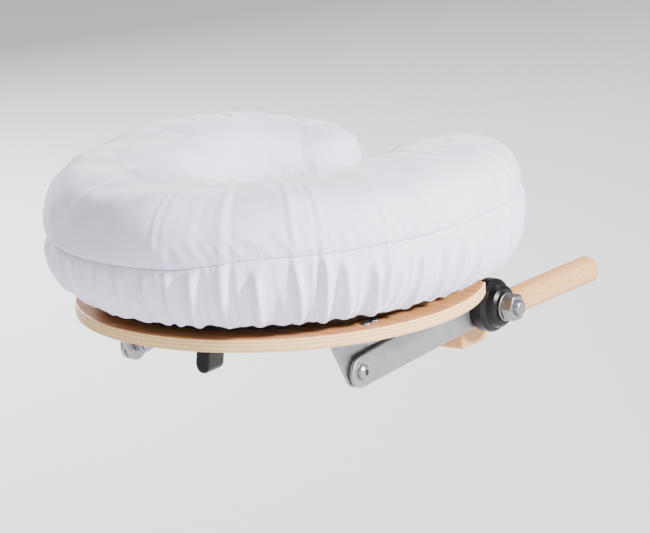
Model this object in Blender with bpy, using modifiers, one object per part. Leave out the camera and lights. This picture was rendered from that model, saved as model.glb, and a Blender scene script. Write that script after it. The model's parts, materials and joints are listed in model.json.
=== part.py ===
"""Face cradle of a portable massage table.

A crescent cushion in a fitted cotton cover rests with hook and loop strips on a plywood platform.
Two flat arms carry the platform from a beech crossbar, whose two posts plug into the table's end.

Metres. +X runs across the cradle, +Y towards the table, +Z up. The origin is the middle of the
crossbar's rear face.
"""

import math

import bmesh
import bpy
from mathutils import Matrix, Vector

MM = 0.001
GAP = 0.3 * MM

# Crossbar and posts
CROSSBAR_LENGTH = 176 * MM
CROSSBAR_DEPTH = 32 * MM
CROSSBAR_HEIGHT = 43 * MM
POST_SPACING = 150 * MM
POST_RADIUS = 9.5 * MM
POST_LENGTH = 150 * MM
POST_Z = -7.5 * MM
SOCKET_DEPTH = 18 * MM

# Joint axes, all parallel to X
HINGE_Y = -CROSSBAR_DEPTH / 2
HINGE_Z = 8.5 * MM
ARM_REACH = 150 * MM
ARM_RISE = 11 * MM
TILT_Y = HINGE_Y - ARM_REACH
TILT_Z = HINGE_Z - ARM_RISE

# Arms and hinge hardware
ARM_INNER_X = 93 * MM
ARM_THICKNESS = 3 * MM
ARM_FRONT_RADIUS = 11 * MM
ARM_REAR_RADIUS = 13 * MM
ROD_RADIUS = 5 * MM
BARREL_RADIUS = 18.5 * MM
BARREL_LENGTH = 17 * MM
PIVOT_BOLT_RADIUS = 3 * MM
PIVOT_WASHER_THICKNESS = 1.1 * MM
HINGE_WASHER_THICKNESS = 1.6 * MM
HINGE_NUT_LENGTH = 8 * MM
LOCK_NUT_LENGTH = 5.5 * MM

# Quick-release lever at the rod's left end
CAM_PIN_RADIUS = 2.5 * MM
CAM_PIN_X = 125 * MM
CAM_HALF_WIDTH = 10 * MM
CAM_SLOT_HALF = ROD_RADIUS + 0.5 * MM
CAM_RADIUS = 9 * MM
LEVER_LENGTH = 72 * MM
ROD_END_BEYOND_PIN = 6 * MM

# Plywood platform, measured from its centre and its underside
PLATFORM_Y = TILT_Y + 46 * MM
PLATFORM_Z = TILT_Z + 29 * MM
PLATFORM_THICKNESS = 9 * MM
PLATFORM_RADIUS_X = 139 * MM
PLATFORM_RADIUS_Y = 141 * MM
PLATFORM_REAR_Y = 78 * MM
PLATFORM_OPENING = 60 * MM

# Angle brackets under the platform, measured along Y from the tilt axis
EAR_THICKNESS = 2.5 * MM
EAR_FRONT_Y = -30 * MM
EAR_REAR_Y = 70 * MM
EAR_WEB_X = ARM_INNER_X - PIVOT_WASHER_THICKNESS - 2 * GAP - EAR_THICKNESS / 2
FLANGE_OUTER_X = 118 * MM
SCREW_X = 111 * MM
SCREW_YS = (-14 * MM, -5 * MM, 56 * MM)
SCREW_RADIUS = 2 * MM

# Crescent, in the platform's own frame
CRESCENT_X = 105 * MM
CRESCENT_Y = 123 * MM
CRESCENT_CENTRE_Y = 15 * MM
CRESCENT_END = math.radians(145)
HALF_WIDTH = 54 * MM
TIP_NARROWING = 10 * MM
TIP_SLUMP = 14 * MM
SLUMP_START = math.radians(95)
WIDEST_Z = 57 * MM
CROWN_Z = 104 * MM
SEAT_Z = 12.5 * MM
SEAM_Z = 68 * MM
HEM_Z = 20 * MM
CROWN_POWER = 3.0
SEAT_FALL = 0.91
COVER_THICKNESS = 1.4 * MM
VINYL_THICKNESS = 1.2 * MM
VINYL_INSET = COVER_THICKNESS + 0.6 * MM
FOAM_INSET = VINYL_INSET + VINYL_THICKNESS + 1.2 * MM
FOAM_SPLIT_Z = 52 * MM
ELASTIC_RADIUS = 1.4 * MM
STRIP_ANGLE = math.radians(104)
STRIP_SPAN = math.radians(22)
STRIP_WIDTH = 20 * MM
STRIP_THICKNESS = 1.3 * MM
SIDE_STEPS = 20
CAP_STEPS = 5


def clear_scene():
    for obj in list(bpy.data.objects):
        bpy.data.objects.remove(obj, do_unlink=True)


def collection(name):
    made = bpy.data.collections.new(name)
    bpy.context.scene.collection.children.link(made)
    return made


def material(name, color, roughness, metallic=0.0):
    made = bpy.data.materials.new(name)
    made.use_nodes = True
    shader = made.node_tree.nodes["Principled BSDF"]
    shader.inputs["Base Color"].default_value = (*color, 1.0)
    shader.inputs["Roughness"].default_value = roughness
    shader.inputs["Metallic"].default_value = metallic
    return made


clear_scene()
PARTS = collection("face_cradle")
CUTTERS = collection("cutters")

WHITE_COTTON = material("white_cotton", (0.86, 0.85, 0.90), 0.9)
WHITE_ELASTIC = material("white_elastic", (0.80, 0.79, 0.83), 0.8)
BLACK_VINYL = material("black_vinyl", (0.02, 0.02, 0.022), 0.38)
SOFT_FOAM = material("soft_foam", (0.85, 0.80, 0.62), 0.95)
FIRM_FOAM = material("firm_foam", (0.62, 0.66, 0.72), 0.95)
BLACK_TAPE = material("black_tape", (0.03, 0.03, 0.03), 0.95)
PLYWOOD = material("plywood", (0.74, 0.50, 0.30), 0.45)
BEECH = material("beech", (0.72, 0.45, 0.24), 0.45)
ALUMINIUM = material("aluminium", (0.72, 0.72, 0.72), 0.42, 0.9)
STEEL = material("steel", (0.75, 0.75, 0.76), 0.25, 1.0)
BLACK_PLASTIC = material("black_plastic", (0.02, 0.02, 0.02), 0.3)
NYLON = material("nylon", (0.88, 0.88, 0.84), 0.5)


def axis_empty(name, y, z, parent=None):
    """An empty on a joint's axis, which the pieces of that body hang from."""
    empty = bpy.data.objects.new(name, None)
    empty.location = (0, y, z)
    empty.parent = parent
    PARTS.objects.link(empty)
    return empty


ARM_AXIS = axis_empty("arm_axis", HINGE_Y, HINGE_Z)
TILT_AXIS = axis_empty("tilt_axis", TILT_Y - HINGE_Y, TILT_Z - HINGE_Z, ARM_AXIS)
PLATFORM_ORIGIN = axis_empty("platform_origin", PLATFORM_Y - TILT_Y, PLATFORM_Z - TILT_Z, TILT_AXIS)


def add(name, data, surface, parent=None, matrix=None, into=None):
    """Links a new object with its material, placed by a matrix in its parent's frame."""
    obj = bpy.data.objects.new(name, data)
    data.materials.append(surface)
    obj.parent = parent
    if matrix is not None:
        obj.matrix_basis = matrix
    (into or PARTS).objects.link(obj)
    return obj


def mesh_of(bm, name, smooth=True):
    bmesh.ops.recalc_face_normals(bm, faces=bm.faces)
    mesh = bpy.data.meshes.new(name)
    bm.to_mesh(mesh)
    bm.free()
    if smooth:
        mesh.shade_smooth()
        mesh.set_sharp_from_angle(angle=math.radians(35))
    return mesh


def as_cutter(obj):
    obj.hide_render = True
    obj.display_type = "WIRE"
    return obj


def boolean(obj, other, operation):
    modifier = obj.modifiers.new(operation.lower(), "BOOLEAN")
    modifier.operation = operation
    modifier.object = other
    modifier.solver = "EXACT"


def along_x(x=0.0, y=0.0, z=0.0):
    """Turns a shape made along Z so that it lies along X."""
    return Matrix.Translation((x, y, z)) @ Matrix.Rotation(math.pi / 2, 4, "Y")


def outward(sign, y, z):
    """Turns a shape made along Z so that it points out along X to the right (sign 1) or left (-1)."""
    return Matrix.Translation((0, y, z)) @ Matrix.Rotation(sign * math.pi / 2, 4, "Y")


def along_y(x=0.0, y=0.0, z=0.0):
    """Turns a shape made along Z so that it lies along +Y."""
    return Matrix.Translation((x, y, z)) @ Matrix.Rotation(-math.pi / 2, 4, "X")


def in_yz(x):
    """Stands a flat XY outline up in the YZ plane, X becoming Y and Y becoming Z."""
    return Matrix(((0, 0, 1, x), (1, 0, 0, 0), (0, 1, 0, 0), (0, 0, 0, 1)))


# ---------------------------------------------------------------- flat, turned and round shapes


def arc(centre, radius, start, end, steps):
    """Points from one angle to another, in degrees."""
    points = []
    for i in range(steps + 1):
        angle = math.radians(start + (end - start) * i / steps)
        points.append((centre[0] + radius * math.cos(angle), centre[1] + radius * math.sin(angle)))
    return points


def plate(name, outline, holes, thickness, surface, parent, matrix, edge=0.0):
    """A flat sheet from an XY outline, centred on its own plane, with round holes (x, y, radius)."""
    curve = bpy.data.curves.new(name, "CURVE")
    curve.dimensions = "2D"
    curve.fill_mode = "BOTH"
    curve.extrude = thickness / 2 - edge
    curve.bevel_depth = edge
    curve.bevel_resolution = 1 if edge > MM else 0
    curve.offset = -edge
    loops = [outline]
    for x, y, radius in holes:
        loops.append(arc((x, y), radius, 360, 30, 11))
    for loop in loops:
        spline = curve.splines.new("POLY")
        spline.points.add(len(loop) - 1)
        for point, (x, y) in zip(spline.points, loop):
            point.co = (x, y, 0, 1)
        spline.use_cyclic_u = True
    return add(name, curve, surface, parent, matrix)


def turned(name, profile, surface, parent, matrix, steps=18):
    """A solid turned about local Z; the profile runs down its outer side as (radius, height)."""
    bm = bmesh.new()
    points = [bm.verts.new((radius, 0, height)) for radius, height in profile]
    for first, second in zip(points, points[1:]):
        bm.edges.new((first, second))
    if profile[0][0] > 0:
        bm.edges.new((points[-1], points[0]))
    mesh = bpy.data.meshes.new(name)
    bm.to_mesh(mesh)
    bm.free()
    obj = add(name, mesh, surface, parent, matrix)
    screw = obj.modifiers.new("turn", "SCREW")
    screw.axis = "Z"
    screw.steps = steps
    screw.render_steps = steps
    screw.use_merge_vertices = True
    screw.merge_threshold = 0.00001
    screw.use_smooth_shade = True
    return obj


def tube_profile(inner, outer, length, chamfer=0.0):
    """Profile of a bush or washer, centred on its length."""
    half = length / 2
    bore = [(inner, -half), (inner, half)]
    if not chamfer:
        return [(outer, half), (outer, -half), *bore]
    return [
        (outer - chamfer, half),
        (outer, half - chamfer),
        (outer, -half + chamfer),
        (outer - chamfer, -half),
        *bore,
    ]


def rod_profile(radius, length, chamfer):
    """Profile of a plain round bar with chamfered ends, centred on its length."""
    half = length / 2
    return [
        (0, half),
        (radius - chamfer, half),
        (radius, half - chamfer),
        (radius, -half + chamfer),
        (radius - chamfer, -half),
        (0, -half),
    ]


def cylinder(name, radius, length, matrix, surface, parent=None, into=None, segments=24):
    bm = bmesh.new()
    bmesh.ops.create_cone(
        bm, cap_ends=True, segments=segments, radius1=radius, radius2=radius, depth=length
    )
    return add(name, mesh_of(bm, name), surface, parent, matrix, into)


def box(name, low, high, surface, parent=None, into=None, bevel=0.0):
    """A block between two corners."""
    bm = bmesh.new()
    size = Vector(high) - Vector(low)
    middle = (Vector(high) + Vector(low)) / 2
    bmesh.ops.create_cube(bm, size=1.0, matrix=Matrix.Translation(middle) @ Matrix.Diagonal((*size, 1)))
    obj = add(name, mesh_of(bm, name), surface, parent, None, into)
    if bevel:
        rounding = obj.modifiers.new("rounding", "BEVEL")
        rounding.width = bevel
        rounding.segments = 2
    return obj


# ---------------------------------------------------------------- crescent shapes


def tip_fraction(theta):
    """0 over the front of the crescent, rising to 1 at its tips."""
    return max(0.0, (abs(theta) - SLUMP_START) / (CRESCENT_END - SLUMP_START))


def half_width(theta):
    return HALF_WIDTH - TIP_NARROWING * (abs(theta) / CRESCENT_END) ** 3


def centre_point(theta):
    """A point on the crescent's centreline, with its outward normal and forward tangent."""
    point = Vector((CRESCENT_X * math.sin(theta), CRESCENT_CENTRE_Y - CRESCENT_Y * math.cos(theta)))
    tangent = Vector((CRESCENT_X * math.cos(theta), CRESCENT_Y * math.sin(theta))).normalized()
    return point, Vector((tangent.y, -tangent.x)), tangent


def outline(scale, inset, start=-CRESCENT_END, end=CRESCENT_END, steps=SIDE_STEPS):
    """(x, y, tip fraction) round a crescent whose half-width is scaled, then reduced by inset."""
    side = [start + (end - start) * i / steps for i in range(steps + 1)]
    points = []
    for sign, thetas in ((1, side), (-1, side[::-1])):
        for theta in thetas:
            centre, normal, _ = centre_point(theta)
            reach = half_width(theta) * scale - inset
            points.append((*(centre + normal * reach * sign), tip_fraction(theta)))
        centre, normal, tangent = centre_point(thetas[-1])
        reach = half_width(thetas[-1]) * scale - inset
        for i in range(1, CAP_STEPS + 1):
            angle = math.pi * i / (CAP_STEPS + 1)
            turn = normal * math.cos(angle) + tangent * math.sin(angle)
            points.append((*(centre + turn * reach * sign), tip_fraction(thetas[-1])))
    return points


def loft(name, rings, surface, closed=False):
    """A solid through crescent rings (scale, inset, z): a closed band, or a body filled at both ends."""
    bm = bmesh.new()
    loops = []
    for scale, inset, z in rings:
        loop = []
        for x, y, tip in outline(scale, inset):
            slump = TIP_SLUMP * tip**2 * max(0.0, (z - SEAT_Z) / (CROWN_Z - SEAT_Z)) ** 2
            loop.append(bm.verts.new((x, y, z - slump)))
        loops.append(loop)
    count = len(loops[0])
    pairs = list(zip(loops, loops[1:]))
    if closed:
        pairs.append((loops[-1], loops[0]))
    for lower, upper in pairs:
        for i in range(count):
            j = (i + 1) % count
            bm.faces.new((lower[i], lower[j], upper[j], upper[i]))
    if not closed:
        fill_across(bm, loops[0])
        fill_across(bm, loops[-1])
    return add(name, mesh_of(bm, name), surface, PLATFORM_ORIGIN)


def fill_across(bm, loop):
    """Closes a crescent ring with faces from its outer side to its inner side."""
    count = len(loop)
    tip = SIDE_STEPS + 1 + CAP_STEPS // 2
    for j in range(count // 2):
        corners = [loop[(tip + j) % count], loop[(tip + j + 1) % count]]
        corners += [loop[(tip - j - 1) % count], loop[(tip - j) % count]]
        face = list(dict.fromkeys(corners))
        bm.faces.new(face)


def section(z, crown=CROWN_Z):
    """Share of the half-width that the padded section has at a height: round below, fuller above."""
    if z < WIDEST_Z:
        share = (WIDEST_Z - z) / (WIDEST_Z - SEAT_Z) * SEAT_FALL
        return math.sqrt(max(0.0, 1 - share**2))
    share = min(1.0, (z - WIDEST_Z) / (crown - WIDEST_Z))
    return (1 - share**CROWN_POWER) ** (1 / CROWN_POWER)


def crown_rings(start_z, inset, crown, steps):
    """Rings from a height up over the shoulder to the flat of the crown."""
    first = math.asin(min(1.0, max(0.0, (start_z - WIDEST_Z) / (crown - WIDEST_Z))) ** (CROWN_POWER / 2))
    last = math.radians(84)
    rings = []
    for i in range(steps + 1):
        angle = first + (last - first) * (i / steps) ** 0.8
        z = WIDEST_Z + (crown - WIDEST_Z) * math.sin(angle) ** (2 / CROWN_POWER)
        rings.append((section(z, crown), inset, z))
    return rings


def side_rings(low, high, inset, steps):
    """Rings up the round lower side, between two heights no higher than the widest point."""
    rings = []
    for i in range(steps + 1):
        z = low + (high - low) * (i / steps) ** 1.3
        rings.append((section(z), inset, z))
    return rings


def cover_top():
    """The fitted cover's top panel: a shell from the side seam up over the crown."""
    outer = crown_rings(SEAM_Z + GAP, 0.0, CROWN_Z, 5)
    inner = crown_rings(SEAM_Z + GAP, COVER_THICKNESS, CROWN_Z - COVER_THICKNESS, 5)
    loft("cover_top_panel", inner[::-1] + outer, WHITE_COTTON)


def cover_skirt():
    """The fitted cover's gathered skirt: a band from the side seam down and under to the hem."""
    rings = []
    for inset, order in ((0.0, 1), (COVER_THICKNESS, -1)):
        side = side_rings(HEM_Z, WIDEST_Z, inset, 4)
        side.append((section(SEAM_Z), inset, SEAM_Z))
        rings += side[::order]
    loft("cover_skirt", rings, WHITE_COTTON, closed=True)


def hem_elastic():
    """The elastic cord that draws the hem in under the cushion."""
    centre_z = HEM_Z - ELASTIC_RADIUS - GAP
    rings = []
    for i in range(5):
        angle = math.tau * i / 5
        rise = ELASTIC_RADIUS * math.sin(angle)
        reach = ELASTIC_RADIUS * math.cos(angle)
        rings.append((section(HEM_Z), 0.6 * MM + reach, centre_z + rise))
    loft("hem_elastic", rings, WHITE_ELASTIC, closed=True)


def upholstery():
    """Black vinyl shell round the foam, open below where the base panel is sewn in."""
    inset = VINYL_INSET
    crown = CROWN_Z - inset
    bottom = SEAT_Z + VINYL_THICKNESS + GAP
    outer = side_rings(bottom, WIDEST_Z, inset, 4) + crown_rings(SEAM_Z, inset, crown, 4)
    inner_inset = inset + VINYL_THICKNESS
    inner_crown = crown - VINYL_THICKNESS
    inner = side_rings(bottom, WIDEST_Z, inner_inset, 4) + crown_rings(SEAM_Z, inner_inset, inner_crown, 4)
    loft("vinyl_upholstery", inner[::-1] + outer, BLACK_VINYL)


def base_panel():
    """Flat vinyl panel that closes the upholstery's underside."""
    top = SEAT_Z + VINYL_THICKNESS
    scale = section(top + GAP)
    loft("vinyl_base_panel", [(scale, VINYL_INSET, SEAT_Z), (scale, VINYL_INSET, top)], BLACK_VINYL)


def foam_layers():
    """Firm foam below, soft foam above, glued at the split."""
    bottom = SEAT_Z + VINYL_THICKNESS + 2 * GAP
    firm = side_rings(bottom, FOAM_SPLIT_Z - GAP, FOAM_INSET, 4)
    loft("firm_foam_base", firm, FIRM_FOAM)
    soft = [(section(FOAM_SPLIT_Z), FOAM_INSET, FOAM_SPLIT_Z)]
    soft += crown_rings(SEAM_Z, FOAM_INSET, CROWN_Z - FOAM_INSET - 0.5 * MM, 4)
    loft("soft_foam_top", soft, SOFT_FOAM)


def strip_outline(middle, span, width):
    """A short piece of tape that follows the crescent's centreline."""
    thetas = [middle - span / 2 + span * i / 6 for i in range(7)]
    sides = []
    for sign in (1, -1):
        side = []
        for theta in thetas[::sign]:
            centre, normal, _ = centre_point(theta)
            side.append(tuple(centre + normal * sign * width / 2))
        sides += side
    return sides


def hook_and_loop():
    """Loop strips under the cushion, each on a hook strip on the platform."""
    places = (("left", -STRIP_ANGLE), ("front", 0.0), ("right", STRIP_ANGLE))
    hook_z = PLATFORM_THICKNESS + GAP + STRIP_THICKNESS / 2
    loop_z = SEAT_Z - GAP - STRIP_THICKNESS / 2
    for side, theta in places:
        shape = strip_outline(theta, STRIP_SPAN, STRIP_WIDTH)
        for kind, z in (("hook", hook_z), ("loop", loop_z)):
            matrix = Matrix.Translation((0, 0, z))
            plate(
                f"{kind}_strip_{side}", shape, [], STRIP_THICKNESS, BLACK_TAPE, PLATFORM_ORIGIN, matrix
            )


# ---------------------------------------------------------------- platform and ears

def platform():
    """Horseshoe plate, open towards the table, with rounded leg ends."""
    corner = 14 * MM
    leg_x = PLATFORM_RADIUS_X * math.sqrt(1 - (PLATFORM_REAR_Y / PLATFORM_RADIUS_Y) ** 2)
    outer_corner = (leg_x - corner - 3 * MM, PLATFORM_REAR_Y - corner)
    inner_corner = (PLATFORM_OPENING + corner, PLATFORM_REAR_Y - corner)
    start = math.degrees(math.asin((PLATFORM_REAR_Y - 10 * MM) / PLATFORM_RADIUS_Y))
    half = arc(outer_corner, corner, 90, 34, 4)
    for i in range(23):
        angle = math.radians(start - (start + 90) * i / 22)
        half.append((PLATFORM_RADIUS_X * math.cos(angle), PLATFORM_RADIUS_Y * math.sin(angle)))
    inner = arc((0, 4 * MM), PLATFORM_OPENING, 270, 360, 10) + arc(inner_corner, corner, 180, 90, 4)
    # one leg, from the rear end round the outside to the front, then mirrored for the other leg
    outside = half + [(-x, y) for x, y in half[-2::-1]]
    inside = [(-x, y) for x, y in inner[::-1]] + inner[1:]
    holes = []
    for sign in (-1, 1):
        for y in SCREW_YS:
            holes.append((sign * SCREW_X, TILT_Y - PLATFORM_Y + y, SCREW_RADIUS + GAP))
    matrix = Matrix.Translation((0, 0, PLATFORM_THICKNESS / 2))
    plate(
        "platform_ring",
        outside + inside,
        holes,
        PLATFORM_THICKNESS,
        PLYWOOD,
        PLATFORM_ORIGIN,
        matrix,
        edge=1.2 * MM,
    )


def hull_outline(first, second, top):
    """Outline of a gusset: round at the pivot, with straight sides up to a flat top edge."""
    points = [(first, top)]
    points += arc((0, 0), ARM_FRONT_RADIUS, 200, 300, 8)
    points += [(second, top - 7 * MM), (second, top)]
    return points


def ear(side, sign):
    """Angle bracket under the platform: a gusset that holds the pivot, and a flange that is screwed."""
    top = PLATFORM_Z - TILT_Z - GAP
    shape = hull_outline(EAR_FRONT_Y, EAR_REAR_Y, top)
    holes = [(0, 0, PIVOT_BOLT_RADIUS + GAP)]
    matrix = in_yz(sign * EAR_WEB_X)
    web = plate(f"web_{side}", shape, holes, EAR_THICKNESS, ALUMINIUM, TILT_AXIS, matrix)
    inner = EAR_WEB_X - EAR_THICKNESS / 2
    flange_shape = [
        (sign * inner, EAR_FRONT_Y),
        (sign * (FLANGE_OUTER_X - 14 * MM), EAR_FRONT_Y),
        (sign * FLANGE_OUTER_X, EAR_FRONT_Y + 13 * MM),
        (sign * FLANGE_OUTER_X, EAR_REAR_Y - 6 * MM),
        (sign * (FLANGE_OUTER_X - 6 * MM), EAR_REAR_Y),
        (sign * inner, EAR_REAR_Y),
    ]
    screws = [(sign * SCREW_X, y, SCREW_RADIUS + GAP) for y in SCREW_YS]
    matrix = Matrix.Translation((0, 0, top - EAR_THICKNESS / 2))
    flange = plate(
        f"ear_bracket_{side}", flange_shape, screws, EAR_THICKNESS, ALUMINIUM, TILT_AXIS, matrix
    )
    flange = curve_to_mesh(flange)
    boolean(flange, as_cutter(curve_to_mesh(web, CUTTERS)), "UNION")


def curve_to_mesh(obj, into=None):
    """The same shape as a welded mesh object, since a curve can't be joined or cut."""
    bpy.context.view_layer.update()
    graph = bpy.context.evaluated_depsgraph_get()
    mesh = bpy.data.meshes.new_from_object(obj.evaluated_get(graph))
    bm = bmesh.new()
    bm.from_mesh(mesh)
    bmesh.ops.remove_doubles(bm, verts=bm.verts, dist=0.00001)
    bmesh.ops.recalc_face_normals(bm, faces=bm.faces)
    bm.to_mesh(mesh)
    bm.free()
    name = obj.name
    made = bpy.data.objects.new(name + "_mesh", mesh)
    made.parent = obj.parent
    made.matrix_basis = obj.matrix_basis.copy()
    (into or PARTS).objects.link(made)
    bpy.data.objects.remove(obj, do_unlink=True)
    made.name = name
    return made


def platform_screws():
    """Pan-head screws, heads on the platform's top face, through the flanges below."""
    head_bottom = PLATFORM_THICKNESS + GAP
    shank_end = -EAR_THICKNESS - 2.5 * MM
    for side, sign in (("left", -1), ("right", 1)):
        for number, y in enumerate(SCREW_YS, 1):
            profile = [
                (0, head_bottom + 1.9 * MM),
                (1.9 * MM, head_bottom + 1.7 * MM),
                (3.2 * MM, head_bottom + 0.8 * MM),
                (3.4 * MM, head_bottom),
                (SCREW_RADIUS, head_bottom),
                (SCREW_RADIUS, shank_end + 0.5 * MM),
                (SCREW_RADIUS - 0.5 * MM, shank_end),
                (0, shank_end),
            ]
            matrix = Matrix.Translation((sign * SCREW_X, TILT_Y - PLATFORM_Y + y, 0))
            turned(f"platform_screw_{side}_{number}", profile, STEEL, PLATFORM_ORIGIN, matrix, 12)


# ---------------------------------------------------------------- arms and pivots


def arm(side, sign):
    """Flat bar from the hinge rod to the platform's pivot, rounded at both ends."""
    lean = math.degrees(math.atan2(-ARM_RISE, -ARM_REACH))
    shape = arc((0, 0), ARM_REAR_RADIUS, lean + 90, lean + 270, 10)
    shape += arc((-ARM_REACH, -ARM_RISE), ARM_FRONT_RADIUS, lean + 270, lean + 450, 10)
    holes = [
        (0, 0, ROD_RADIUS + GAP),
        (-ARM_REACH, -ARM_RISE, PIVOT_BOLT_RADIUS + GAP),
    ]
    matrix = in_yz(sign * (ARM_INNER_X + ARM_THICKNESS / 2))
    plate(f"arm_{side}", shape, holes, ARM_THICKNESS, ALUMINIUM, ARM_AXIS, matrix, edge=0.5 * MM)


def pivot_hardware(side, sign):
    """Button-head bolt, nylon washer and lock nut of a platform pivot."""
    place = outward(sign, -ARM_REACH, -ARM_RISE)
    face = ARM_INNER_X + ARM_THICKNESS + GAP
    inner_end = ARM_INNER_X - 12 * MM
    head = [
        (0, face + 0.9 * MM),
        (1.9 * MM, face + 0.9 * MM),
        (2.1 * MM, face + 3.3 * MM),
        (3.6 * MM, face + 3.2 * MM),
        (5.2 * MM, face + 1.8 * MM),
        (5.5 * MM, face),
        (PIVOT_BOLT_RADIUS, face),
        (PIVOT_BOLT_RADIUS, inner_end + 0.6 * MM),
        (PIVOT_BOLT_RADIUS - 0.6 * MM, inner_end),
        (0, inner_end),
    ]
    turned(f"pivot_bolt_{side}", head, STEEL, ARM_AXIS, place)
    washer_x = ARM_INNER_X - GAP - PIVOT_WASHER_THICKNESS / 2
    turned(
        f"pivot_washer_{side}",
        tube_profile(PIVOT_BOLT_RADIUS + GAP, 8 * MM, PIVOT_WASHER_THICKNESS),
        NYLON,
        ARM_AXIS,
        place @ Matrix.Translation((0, 0, washer_x)),
    )
    nut_x = EAR_WEB_X - EAR_THICKNESS / 2 - GAP - LOCK_NUT_LENGTH / 2
    nut_place = place @ Matrix.Translation((0, 0, nut_x))
    hex_nut(f"lock_nut_{side}", 5.2 * MM, LOCK_NUT_LENGTH, PIVOT_BOLT_RADIUS, ARM_AXIS, nut_place)


def hex_nut(name, corner_radius, length, bore, parent, matrix):
    """Hexagonal nut along local Z, with chamfered corners and a plain bore."""
    bm = bmesh.new()
    bmesh.ops.create_cone(
        bm, cap_ends=True, segments=6, radius1=corner_radius, radius2=corner_radius, depth=length
    )
    nut = add(name, mesh_of(bm, name), STEEL, parent, matrix)
    rounding = nut.modifiers.new("rounding", "BEVEL")
    rounding.width = 0.4 * MM
    rounding.segments = 1
    hole = cylinder(f"bore_{name}", bore + GAP, 3 * length, matrix, STEEL, parent, CUTTERS, 18)
    boolean(nut, as_cutter(hole), "DIFFERENCE")
    return nut


# ---------------------------------------------------------------- crossbar, hinge and posts


def crossbar():
    """Beech rail with a through hole for the hinge rod and two blind sockets for the posts."""
    half = CROSSBAR_LENGTH / 2
    rail = box(
        "crossbar",
        (-half, -CROSSBAR_DEPTH, -CROSSBAR_HEIGHT / 2),
        (half, 0, CROSSBAR_HEIGHT / 2),
        BEECH,
        bevel=3 * MM,
    )
    place = along_x(0, HINGE_Y, HINGE_Z)
    rod_hole = cylinder(
        "rod_hole", ROD_RADIUS + GAP, 1.2 * CROSSBAR_LENGTH, place, BEECH, None, CUTTERS
    )
    boolean(rail, as_cutter(rod_hole), "DIFFERENCE")
    for side, sign in (("left", -1), ("right", 1)):
        place = along_y(sign * POST_SPACING / 2, 0, POST_Z)
        socket = cylinder(
            f"socket_{side}", POST_RADIUS + GAP, 2 * SOCKET_DEPTH, place, BEECH, None, CUTTERS
        )
        boolean(rail, as_cutter(socket), "DIFFERENCE")


def posts():
    """Dowel posts glued into the crossbar, which slide into the table's end rail."""
    length = POST_LENGTH + SOCKET_DEPTH - 2 * GAP
    for side, sign in (("left", -1), ("right", 1)):
        place = along_y(sign * POST_SPACING / 2, POST_LENGTH - length / 2, POST_Z)
        turned(f"post_{side}", rod_profile(POST_RADIUS, length, 2 * MM), BEECH, None, place)


def hinge_hardware():
    """Rod, friction discs, barrels, washers and nut that clamp the arms to the crossbar."""
    rod_left_end = CAM_PIN_X + ROD_END_BEYOND_PIN
    rod_right_end = ARM_INNER_X + ARM_THICKNESS + BARREL_LENGTH + 14 * MM
    rod_length = rod_left_end + rod_right_end
    middle = (rod_right_end - rod_left_end) / 2
    rod = turned(
        "hinge_rod",
        rod_profile(ROD_RADIUS, rod_length, 0.8 * MM),
        STEEL,
        None,
        along_x(middle, HINGE_Y, HINGE_Z),
    )
    pin_place = along_y(-CAM_PIN_X, HINGE_Y, HINGE_Z)
    eye = cylinder(
        "rod_eye", CAM_PIN_RADIUS + GAP, 6 * ROD_RADIUS, pin_place, STEEL, None, CUTTERS, 16
    )
    boolean(rod, as_cutter(eye), "DIFFERENCE")
    for side, sign in (("left", -1), ("right", 1)):
        place = outward(sign, HINGE_Y, HINGE_Z)
        inner_face = CROSSBAR_LENGTH / 2 + GAP
        disc_length = ARM_INNER_X - GAP - inner_face
        turned(
            f"friction_disc_{side}",
            tube_profile(ROD_RADIUS + GAP, 15 * MM, disc_length, 0.6 * MM),
            BLACK_PLASTIC,
            None,
            place @ Matrix.Translation((0, 0, inner_face + disc_length / 2)),
        )
        barrel_start = ARM_INNER_X + ARM_THICKNESS + GAP
        turned(
            f"hinge_barrel_{side}",
            barrel_profile(),
            BLACK_PLASTIC,
            None,
            place @ Matrix.Translation((0, 0, barrel_start)),
            24,
        )
        washer_x = barrel_start + BARREL_LENGTH + GAP + HINGE_WASHER_THICKNESS / 2
        turned(
            f"hinge_washer_{side}",
            tube_profile(ROD_RADIUS + GAP, 10 * MM, HINGE_WASHER_THICKNESS, 0.3 * MM),
            STEEL,
            None,
            place @ Matrix.Translation((0, 0, washer_x)),
        )
    nut_face = ARM_INNER_X + ARM_THICKNESS + BARREL_LENGTH + HINGE_WASHER_THICKNESS + 3 * GAP
    nut_place = along_x(nut_face + HINGE_NUT_LENGTH / 2, HINGE_Y, HINGE_Z)
    hex_nut("hinge_nut", 9.8 * MM, HINGE_NUT_LENGTH, ROD_RADIUS, None, nut_place)


def barrel_profile():
    """Stepped barrel, wide against the arm, with a shallow groove and a narrower outer boss."""
    return [
        (ROD_RADIUS + GAP, BARREL_LENGTH),
        (12.0 * MM, BARREL_LENGTH),
        (14.0 * MM, BARREL_LENGTH - 1.5 * MM),
        (15.0 * MM, BARREL_LENGTH - 4 * MM),
        (15.4 * MM, 11.0 * MM),
        (17.0 * MM, 10.5 * MM),
        (BARREL_RADIUS, 8.5 * MM),
        (BARREL_RADIUS, 1.0 * MM),
        (BARREL_RADIUS - 1.0 * MM, 0),
        (ROD_RADIUS + GAP, 0),
    ]


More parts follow.
